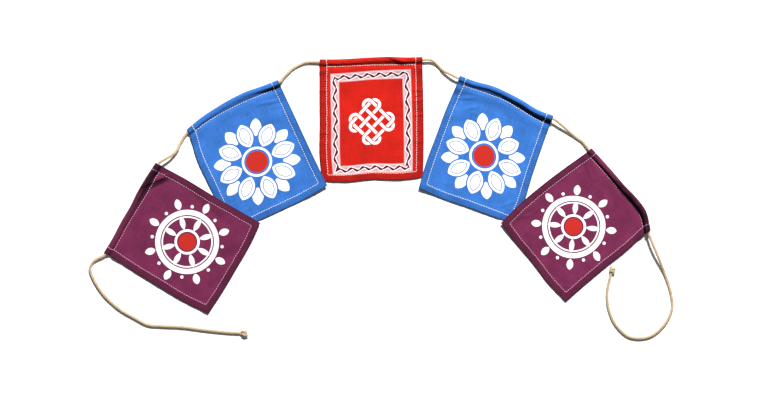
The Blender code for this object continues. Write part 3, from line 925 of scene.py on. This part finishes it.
def printed_cotton(kind, colours):
    """Plain-weave cotton, piece-dyed and screen-printed: matt and slightly slubby.

    It is darker where hems lie double. Its rim is darkened with painted shade that stands also for some wear,
    and the hollows along the casing and under laps with painted shade. Its threads are drawn 0.7 mm apart,
    coarser than the real 0.35 mm, so that they show.
    """
    material, tree, shader = new_material(f"{kind} printed cotton")
    flat = add_node(tree, "ShaderNodeUVMap", uv_map="Cloth")
    slub = []
    for stretch in ((0.05, 0.75, 1.0), (0.75, 0.05, 1.0)):
        place = add_node(tree, VECTOR, {0: flat, 1: stretch}, operation="MULTIPLY")
        slub.append(add_node(tree, NOISE, {"Vector": place, "Scale": 1.0, "Detail": 3.0}))
    uneven = add_node(tree, MATH, {0: slub[0], 1: slub[1]}, operation="ADD")
    slubby, ink_tone = (
        add_node(
            tree, SPREAD,
            {"Value": uneven, "From Min": 0.6, "From Max": 1.4, "To Min": dark, "To Max": light},
            output="Result",
        )
        for dark, light in ((0.78, 1.20), (0.95, 1.02))
    )
    cloud = add_node(tree, NOISE, {"Vector": flat, "Scale": 0.035, "Detail": 5.0, "Roughness": 0.6})
    clouded = add_node(
        tree, SPREAD,
        {"Value": cloud, "From Min": 0.3, "From Max": 0.7, "To Min": CLOUD_TONE[kind], "To Max": 1.14},
        output="Result",
    )
    value = add_node(tree, MATH, {0: slubby, 1: clouded}, operation="MULTIPLY")
    # Doubled hems are darker; the rim and the gap are darkened with painted shade, the rim's standing also
    # for some wear
    for name, darkest in (("layered", HEM_TONE[kind]), ("rim", RIM_SHADE_AND_WEAR_TONE), ("gap", PAINTED_SHADE_TONE)):
        share = add_node(tree, "ShaderNodeAttribute", output="Fac", attribute_name=name)
        tone = add_node(tree, SPREAD, {"Value": share, "To Min": 1.0, "To Max": darkest}, output="Result")
        value = add_node(tree, MATH, {0: value, 1: tone}, operation="MULTIPLY")
    colour = add_node(tree, VECTOR, {0: tuple(getattr(colours, kind)), "Scale": value}, operation="SCALE")
    for coverage, ink in prints(tree, kind, flat, colours):
        ink_colour = add_node(tree, VECTOR, {0: tuple(ink), "Scale": ink_tone}, operation="SCALE")
        colour = add_node(tree, MIX, {0: coverage, 6: colour, 7: ink_colour}, output=2, data_type="RGBA")
    tree.links.new(colour, shader.inputs["Base Color"])
    shader.inputs["Roughness"].default_value = 0.88
    shader.inputs["Specular IOR Level"].default_value = 0.15
    shader.inputs["Sheen Weight"].default_value = 0.03
    shader.inputs["Sheen Roughness"].default_value = 0.5
    weave = []
    for direction in ("X", "Y"):
        weave.append(add_node(
            tree, WAVE,
            {
                "Vector": flat, "Scale": WAVE_PITCH / THREAD_PITCH,
                "Distortion": 0.6, "Detail": 1.0, "Detail Scale": 0.4,
            },
            output=1, bands_direction=direction,
        ))
    threads = add_node(tree, MATH, {0: weave[0], 1: weave[1]}, operation="ADD")
    height = add_node(tree, MATH, {0: uneven, 1: 0.8, 2: threads}, operation="MULTIPLY_ADD")
    bump = add_node(tree, "ShaderNodeBump", {"Height": height, "Strength": 0.35, "Distance": 0.00012})
    tree.links.new(bump, shader.inputs["Normal"])
    return material


def sewing_thread(kind, colours):
    """Two-ply spun polyester sewing thread: faintly glossy, with a fine uneven tone and bump."""
    colour = colours.pink_thread if kind == "purple" else colours.white_thread
    name = "pink" if kind == "purple" else "white"
    material, tree, shader = new_material(f"{name} sewing thread {kind}")
    place = add_node(tree, "ShaderNodeTexCoord", output="Object")
    tone = add_node(tree, NOISE, {"Vector": place, "Scale": 900.0, "Detail": 2.0})
    shade = add_node(
        tree, SPREAD,
        {"Value": tone, "From Min": 0.3, "From Max": 0.7, "To Min": 0.82, "To Max": 1.05}, output="Result",
    )
    shaded = add_node(tree, VECTOR, {0: tuple(colour), "Scale": shade}, operation="SCALE")
    tree.links.new(shaded, shader.inputs["Base Color"])
    shader.inputs["Roughness"].default_value = 0.55
    bump = add_node(tree, "ShaderNodeBump", {"Height": tone, "Strength": 0.3, "Distance": 0.0001})
    tree.links.new(bump, shader.inputs["Normal"])
    return material


YARN_PITCH = 0.55


def cotton_cord(colours):
    """Undyed three-ply cotton cord: matt and fibrous, with painted shade in tan in the grooves between plies,
    tan patches at random, and the yarns of each ply as fine lines against the twist, 0.55 mm apart."""
    material, tree, shader = new_material("undyed cotton cord")
    flat = add_node(tree, "ShaderNodeUVMap", uv_map="Cord")
    groove = add_node(tree, "ShaderNodeAttribute", output="Fac", attribute_name="groove")
    yarns = add_node(
        tree, WAVE,
        {
            "Vector": flat, "Scale": WAVE_PITCH / YARN_PITCH,
            "Distortion": 1.2, "Detail": 2.0, "Detail Scale": 1.0,
        },
        output=1, bands_direction="DIAGONAL",
    )
    mottle = add_node(tree, NOISE, {"Vector": flat, "Scale": 0.22, "Detail": 4.0})
    # Painted shade: the grooves between plies turn tan, and random patches add more tan
    groove_shade = add_node(
        tree, SPREAD,
        {"Value": groove, "From Min": 0.15, "From Max": 1.0, "To Min": 0.0, "To Max": 0.85}, output="Result",
    )
    patchy = add_node(
        tree, SPREAD,
        {"Value": mottle, "From Min": 0.35, "From Max": 0.7, "To Min": 0.0, "To Max": 0.4}, output="Result",
    )
    shade_and_patches = add_node(tree, MATH, {0: groove_shade, 1: patchy}, operation="ADD", use_clamp=True)
    clean, darkened = (*colours.cord, 1.0), (*colours.cord_shade, 1.0)
    colour = add_node(tree, MIX, {0: shade_and_patches, 6: clean, 7: darkened}, output=2, data_type="RGBA")
    tree.links.new(colour, shader.inputs["Base Color"])
    shader.inputs["Roughness"].default_value = 0.92
    shader.inputs["Specular IOR Level"].default_value = 0.2
    shader.inputs["Sheen Weight"].default_value = 0.2
    bump = add_node(tree, "ShaderNodeBump", {"Height": yarns, "Strength": 0.5, "Distance": 0.0002})
    tree.links.new(bump, shader.inputs["Normal"])
    return material


def floor_paint(colours):
    """Matt white board, so smooth that only a faint unevenness of its coat shows."""
    material, tree, shader = new_material("matt white board")
    place = add_node(tree, "ShaderNodeTexCoord", output="Object")
    coat = add_node(tree, NOISE, {"Vector": place, "Scale": 3.0, "Detail": 2.0})
    tone = add_node(tree, SPREAD, {"Value": coat, "To Min": 0.99, "To Max": 1.0}, output="Result")
    shaded = add_node(tree, VECTOR, {0: tuple(colours.floor), "Scale": tone}, operation="SCALE")
    tree.links.new(shaded, shader.inputs["Base Color"])
    shader.inputs["Roughness"].default_value = 0.9
    return material


def cord_axis(flag, across):
    """Middle of the cord inside the flag's casing."""
    seam, edge = seam_at(flag, across), through(flag.edge, across)
    place = on_surface(flag, Vector((seam.x, edge - AXIS_DEPTH)))
    return Vector((place.x, place.y, AXIS_HEIGHT + through(flag.lift, across)))


def cord_route():
    """All the points that the cord goes through, from the left knot to the right one."""
    stretches = [LEFT_TAIL, *LINKS, RIGHT_TAIL]
    route = [Vector(point) for point in stretches[0]]
    for flag, stretch in zip(FLAGS, stretches[1:], strict=True):
        route += [cord_axis(flag, station / CASING_STATIONS) for station in range(CASING_STATIONS + 1)]
        route += [Vector(point) for point in stretch]
    return route


def evenly(points, step):
    """The same line with its points a step apart."""
    gone = [0.0]
    for start, end in zip(points, points[1:], strict=False):
        gone.append(gone[-1] + (end - start).length)
    count = max(2, round(gone[-1] / step))
    even = []
    for index in range(count + 1):
        at = gone[-1] * index / count
        first = min(max(bisect.bisect_right(gone, at) - 1, 0), len(points) - 2)
        run = gone[first + 1] - gone[first]
        even.append(points[first].lerp(points[first + 1], (at - gone[first]) / run if run else 0.0))
    return even


# The cord's and the knots' mesh: corners round it, and steps along the cord and along a knot
TUBE_CORNERS = 30
CORD_STEP, KNOT_STEP = 1.1, 0.55


def twisted_tube(name, line, radii, lay, material, begun):
    """A three-ply cord along line, its plies as lobes that wind round it, closed at both ends.

    It narrows from the first to the last of radii at once. begun, and what is given back besides the piece,
    say which way the first lobe points and how much cord there is before, so that a knot goes on from it.
    """
    points, faces, groove, flat = [], [], [], []
    side, gone = begun
    before = line[0]
    for index, here in enumerate(line):
        heading = (line[min(index + 1, len(line) - 1)] - line[max(index - 1, 0)]).normalized()
        side = (side - heading * side.dot(heading)).normalized()
        other = heading.cross(side)
        gone += (here - before).length
        before = here
        full = 1 + 0.05 * noise.noise(Vector((gone / 7, 3, 0)))
        radius = radii[1] + (radii[0] - radii[1]) * (1 - smooth((gone - begun[1]) / KNOT_NARROWING))
        for corner in range(TUBE_CORNERS):
            angle = 2 * math.pi * corner / TUBE_CORNERS
            ply = abs(math.cos(1.5 * (angle - 2 * math.pi * gone / lay)))
            reach = radius * full * (0.80 + 0.22 * ply**0.85)
            points.append(here + (side * math.cos(angle) + other * math.sin(angle)) * reach)
            # How deep in a groove between plies each point lies, which the cord's material darkens as painted
            # shade
            groove.append((1 - ply) ** 2.2)
            flat.append((angle * CORD_RADIUS, gone))
    for ring in range(len(line) - 1):
        for a, b in ring_edges(ring * TUBE_CORNERS, TUBE_CORNERS):
            faces.append((a, b, b + TUBE_CORNERS, a + TUBE_CORNERS))
    for place, ring in ((line[0], 0), (line[-1], len(line) - 1)):
        middle = len(points)
        points.append(place.copy())
        groove.append(0.4)
        flat.append((0.0, 0.0 if ring == 0 else gone))
        for a, b in ring_edges(ring * TUBE_CORNERS, TUBE_CORNERS):
            faces.append((b, a, middle) if ring == 0 else (a, b, middle))
    piece = new_piece(name, points, faces, material)
    add_shares(piece, "groove", groove)
    add_pattern(piece, "Cord", flat)
    return piece, (side, gone)


# An overhand knot about its own middle: size of its loops, half its thickness, its cord's radius, how far
# its middle is past the cord's end, above the surface and to one side, and its way in and out
KNOT_LOOP, KNOT_RISE, KNOT_RADIUS = 0.93, 1.35, 1.5
KNOT_REACH, KNOT_HEIGHT, KNOT_ASIDE = 5.2, 3.0, 0.45
KNOT_LEAD_IN = ((-5.2, 0.0, -1.05), (-4.4, -0.2, -1.05), (-2.3, -1.8, -1.15))
KNOT_TAIL = ((1.5, -2.3, 1.3), (3.0, -2.5, 0.9), (4.0, -2.4, 0.2))
KNOT_OPEN, KNOT_TURNS = 0.42, 40
KNOT_NARROWING = 2.4

# Loose yarns of a cut end: how many, corners and rings of each, and its radius
YARNS, YARN_CORNERS, YARN_RINGS, YARN_RADIUS = 22, 5, 4, 0.15


def knot_line(end, heading, bulge):
    """The cord's way through an overhand knot, from its end on, bulging to one side."""
    heading = Vector((heading.x, heading.y, 0)).normalized()
    aside = Vector((heading.y, -heading.x, 0)) * bulge
    turns = []
    for step in range(KNOT_TURNS + 1):
        t = (-math.pi + KNOT_OPEN) + (2 * math.pi - 2 * KNOT_OPEN) * step / KNOT_TURNS
        turns.append((
            KNOT_LOOP * (math.sin(t) + 2 * math.sin(2 * t)),
            KNOT_LOOP * (math.cos(t) - 2 * math.cos(2 * t) + KNOT_ASIDE),
            KNOT_RISE * math.sin(3 * t),
        ))
    middle = Vector((end.x, end.y, KNOT_HEIGHT)) + heading * KNOT_REACH
    places = [
        middle + heading * along + aside * across + Vector((0, 0, rise))
        for along, across, rise in (*KNOT_LEAD_IN, *turns, *KNOT_TAIL)
    ]
    return evenly(smooth_path(places, 6), KNOT_STEP)


def frayed_end(name, line, material, seed):
    """Loose cotton yarns that stand out of a cut end, each a thin tapered strand."""
    chance = random.Random(seed)
    heading = (line[-1] - line[-4]).normalized()
    side = heading.cross(Vector((0, 0, 1))).normalized()
    lift = side.cross(heading)
    points, faces = [], []
    for _ in range(YARNS):
        angle = chance.uniform(0, 2 * math.pi)
        off = (side * math.cos(angle) + lift * math.sin(angle)) * chance.uniform(0.2, 1.15)
        way = (heading + off * chance.uniform(0.3, 0.9)).normalized()
        start = line[-1] + off - heading * 0.5
        length = chance.uniform(0.8, 1.9)
        first = len(points)
        for ring in range(YARN_RINGS):
            share = ring / (YARN_RINGS - 1)
            here = start + way * length * share + Vector((0, 0, -0.5)) * share**2
            here.z = max(here.z, 0.2)
            size = YARN_RADIUS * (1 - 0.7 * share)
            for corner in range(YARN_CORNERS):
                turn = 2 * math.pi * corner / YARN_CORNERS
                points.append(here + (side * math.cos(turn) + lift * math.sin(turn)) * size)
        for ring in range(YARN_RINGS - 1):
            for a, b in ring_edges(first + ring * YARN_CORNERS, YARN_CORNERS):
                faces.append((a, b, b + YARN_CORNERS, a + YARN_CORNERS))
        faces.append(tuple(reversed(range(first, first + YARN_CORNERS))))
        faces.append(tuple(range(len(points) - YARN_CORNERS, len(points))))
    return new_piece(name, points, faces, material)


# How far the cloth's back is moved along the flat pattern, past every print, and the width of the rim's
# painted shade, which stands also for some wear
UNPRINTED, RIM_SHADE_WIDTH = 400.0, 1.8


def add_cloth_mesh(cloth, material):
    """The closed mesh of a flag, with its flat pattern in millimetres as its UV map."""
    rows, wide = len(cloth.outer), len(cloth.across)
    half = rows * wide
    points = [point for face in (cloth.outer, cloth.inner) for row in face for point in row]
    faces = []
    for row in range(rows - 1):
        for corner in range(row * wide, row * wide + wide - 1):
            faces.append((corner, corner + 1, corner + wide + 1, corner + wide))
            faces.append((corner + half, corner + half + wide, corner + half + wide + 1, corner + half + 1))
    way_round = [*range(wide)]
    way_round += [row * wide + wide - 1 for row in range(1, rows)]
    way_round += [(rows - 1) * wide + column for column in range(wide - 2, -1, -1)]
    way_round += [row * wide for row in range(rows - 2, 0, -1)]
    for start, end in zip(way_round, way_round[1:] + way_round[:1], strict=True):
        faces.append((end, start, start + half, end + half))
    piece = new_piece(cloth.flag.name + "_cloth", points, faces, material)
    thin, thick = min(map(min, cloth.thick)), max(map(max, cloth.thick))
    layered = [(thickness - thin) / (thick - thin) for row in cloth.thick for thickness in row]
    casing = len(cloth.up) * wide
    layered = [max(share, 0.5 if index > casing else 0.0) for index, share in enumerate(layered)]
    # Painted shade along every edge, which stands also for some wear, and painted shade in the hollows
    rim = [
        1 - smooth(min(from_left, PANEL_WIDTH - from_left, reach) / RIM_SHADE_WIDTH)
        for reach in cloth.reach
        for from_left in cloth.across
    ]
    gap = [share for row in cloth.gap for share in row]
    for name, shares in (("layered", layered), ("rim", rim), ("gap", gap)):
        add_shares(piece, name, shares * 2)
    flat = [
        (from_left - PANEL_WIDTH / 2, reach - PANEL_HEIGHT / 2 + away)
        for away in (0.0, UNPRINTED)
        for reach in cloth.reach
        for from_left in cloth.across
    ]
    add_pattern(piece, "Cloth", flat)
    return piece


def stitch_lines(cloth):
    """Where the hems and the casing are sewn, as start and end from the left edge and from the foot."""
    left, right, foot = STITCH_INSET, PANEL_WIDTH - STITCH_INSET, STITCH_INSET
    top = cloth.folded_edge()
    return (
        ((left, foot), (left, top)),
        ((right, foot), (right, top)),
        ((left, foot), (right, foot)),
        ((left, PANEL_HEIGHT), (right, PANEL_HEIGHT)),
    )


# A stitch's rings and their corners
STITCH_RINGS, STITCH_CORNERS = 5, 6


def add_stitches(cloth, sizes, material):
    """Every stitch of one flag as a short bowed thread that dives into the cloth at both ends."""
    pitch, length, radius = sizes.stitch_pitch / MM, sizes.stitch_length / MM, sizes.thread_radius / MM
    chance = random.Random(FLAGS.index(cloth.flag) + 70)
    points, faces = [], []
    for start, end in stitch_lines(cloth):
        start, end = Vector(start), Vector(end)
        run = end - start
        count = max(1, int(run.length / pitch))
        way = run.normalized()
        for index in range(count):
            middle = start + way * (index + 0.5) * run.length / count
            middle += Vector((way.y, -way.x)) * chance.uniform(-0.22, 0.22)
            skew = Vector((way.y, -way.x)) * chance.uniform(-0.16, 0.16)
            line, ups = [], []
            for ring in range(STITCH_RINGS):
                share = ring / (STITCH_RINGS - 1) - 0.5
                at = middle + way * share * length + skew * share * 2
                place, up = cloth.outside_at(at.x, at.y)
                arch = 1 - (2 * share) ** 2
                line.append(place + up * (0.75 * radius * arch - 0.1))
                ups.append(up)
            first = len(points)
            heading = (line[-1] - line[0]).normalized()
            for ring in range(STITCH_RINGS):
                share = 2 * ring / (STITCH_RINGS - 1) - 1
                size = radius * (0.45 + 0.55 * math.sqrt(max(0.0, 1 - share**4)))
                side = heading.cross(ups[ring]).normalized()
                for corner in range(STITCH_CORNERS):
                    turn = 2 * math.pi * corner / STITCH_CORNERS
                    points.append(line[ring] + (side * math.cos(turn) + ups[ring] * math.sin(turn)) * size)
            for ring in range(STITCH_RINGS - 1):
                for a, b in ring_edges(first + ring * STITCH_CORNERS, STITCH_CORNERS):
                    faces.append((b, a, a + STITCH_CORNERS, b + STITCH_CORNERS))
            faces.append(tuple(range(first, first + STITCH_CORNERS)))
            faces.append(tuple(reversed(range(len(points) - STITCH_CORNERS, len(points)))))
    name = cloth.flag.name.replace("flag", "stitching", 1)
    return new_piece(name, points, faces, material)


class FLAGSTRING_OT_camera(bpy.types.Operator):
    """Looks straight down on the string, as wide as the photograph"""

    bl_idname = "flagstring.camera"
    bl_label = "Add camera"

    def execute(self, context):
        lens = bpy.data.cameras.new("camera above")
        lens.lens, lens.sensor_width, lens.sensor_fit = LENS, SENSOR, "HORIZONTAL"
        lens.clip_start, lens.clip_end = 0.05, 30
        camera = bpy.data.objects.new("camera above", lens)
        camera.location = (VIEW_MIDDLE[0] * MM, VIEW_MIDDLE[1] * MM, VIEW_WIDTH * MM * LENS / SENSOR)
        context.scene.collection.objects.link(camera)
        context.scene.camera = camera
        return {"FINISHED"}


class FLAGSTRING_OT_cord(bpy.types.Operator):
    """Lays the three-ply cord through the casings, with an overhand knot and frayed yarns at both ends"""

    bl_idname = "flagstring.cord"
    bl_label = "Add cord and knots"

    def execute(self, context):
        lay = context.scene.flagstring_sizes.cord_lay / MM
        material = cotton_cord(context.scene.flagstring_colours)
        line = evenly(smooth_path(cord_route(), 10), CORD_STEP)
        begun = (Vector((0, 0, 1)), 0.0)
        cord, ended = twisted_tube("cord_plies", line, (CORD_RADIUS, CORD_RADIUS), lay, material, begun)
        trims = []
        for name, tip, heading, bulge, reached in (
            ("left", line[0], line[0] - line[3], -1, begun),
            ("right", line[-1], line[-1] - line[-4], 1, ended),
        ):
            knot = knot_line(tip, heading, bulge)
            radii = (CORD_RADIUS, KNOT_RADIUS)
            trims.append(twisted_tube(f"knot_{name}", knot, radii, lay, material, reached)[0])
            trims.append(frayed_end(f"frayed_{name}", knot, material, 11 + len(trims)))
        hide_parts("cord")
        return {"FINISHED"}


class FLAGSTRING_OT_flags(bpy.types.Operator):
    """Sews the five printed flags, each a hemmed sheet with a casing round the cord"""

    bl_idname = "flagstring.flags"
    bl_label = "Add flags"

    def execute(self, context):
        sizes, colours = context.scene.flagstring_sizes, context.scene.flagstring_colours
        cottons = {kind: printed_cotton(kind, colours) for kind in ("purple", "blue", "red")}
        threads = {kind: sewing_thread(kind, colours) for kind in cottons}
        for flag in FLAGS:
            cloth = Cloth(flag, sizes)
            piece = add_cloth_mesh(cloth, cottons[flag.kind])
            stitches = add_stitches(cloth, sizes, threads[flag.kind])
            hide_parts(flag.name)
        return {"FINISHED"}


class FLAGSTRING_OT_stage(bpy.types.Operator):
    """Adds the pale floor and the studio lights"""

    bl_idname = "flagstring.stage"
    bl_label = "Add stage"

    def execute(self, context):
        scene = context.scene
        bpy.ops.object.select_all(action="DESELECT")
        bpy.ops.mesh.primitive_plane_add(size=FLOOR_WIDTH)
        floor = context.object
        floor.name = "floor"
        floor.data.materials.append(floor_paint(scene.flagstring_colours))
        for lamp in LAMPS:
            light = bpy.data.lights.new(lamp.name, "AREA")
            light.shape, light.size, light.energy = "DISK", lamp.size, lamp.power
            obj = bpy.data.objects.new(lamp.name, light)
            flat, up = math.radians(lamp.azimuth), math.radians(lamp.elevation)
            way = Vector((math.cos(flat) * math.cos(up), math.sin(flat) * math.cos(up), math.sin(up)))
            obj.location = Vector(LAMP_AIM) + way * LAMP_DISTANCE
            obj.rotation_euler = way.to_track_quat("Z", "Y").to_euler()
            scene.collection.objects.link(obj)
        world = bpy.data.worlds.new("pale studio")
        world.use_nodes = True
        sky = world.node_tree.nodes["Background"]
        sky.inputs["Color"].default_value = (1.0, 1.0, 1.0, 1.0)
        sky.inputs["Strength"].default_value = SKY_STRENGTH
        scene.world = world
        scene.view_settings.view_transform = "Standard"
        return {"FINISHED"}


class FLAGSTRING_PT_panel(bpy.types.Panel):
    """Sizes, colours and steps of the flag string"""

    bl_label = "Flag String"
    bl_idname = "FLAGSTRING_PT_panel"
    bl_space_type = "VIEW_3D"
    bl_region_type = "UI"
    bl_category = "Flag String"

    def draw(self, context):
        for group in (context.scene.flagstring_sizes, context.scene.flagstring_colours):
            box = self.layout.box()
            for name in group.bl_rna.properties.keys():
                if name not in {"rna_type", "name"}:
                    box.prop(group, name)
        for step in STEPS:
            self.layout.operator(step.bl_idname)


STEPS = (FLAGSTRING_OT_camera, FLAGSTRING_OT_cord, FLAGSTRING_OT_flags, FLAGSTRING_OT_stage)
CLASSES = (FlagStringSizes, FlagStringColours, *STEPS, FLAGSTRING_PT_panel)


def register():
    for made in CLASSES:
        bpy.utils.register_class(made)
    bpy.types.Scene.flagstring_sizes = PointerProperty(type=FlagStringSizes)
    bpy.types.Scene.flagstring_colours = PointerProperty(type=FlagStringColours)


def unregister():
    del bpy.types.Scene.flagstring_colours
    del bpy.types.Scene.flagstring_sizes
    for made in reversed(CLASSES):
        bpy.utils.unregister_class(made)


def main():
    register()
    bpy.ops.flagstring.camera()
    bpy.ops.flagstring.cord()
    bpy.ops.flagstring.flags()
    bpy.ops.flagstring.stage()


if __name__ == "__main__":
    main()
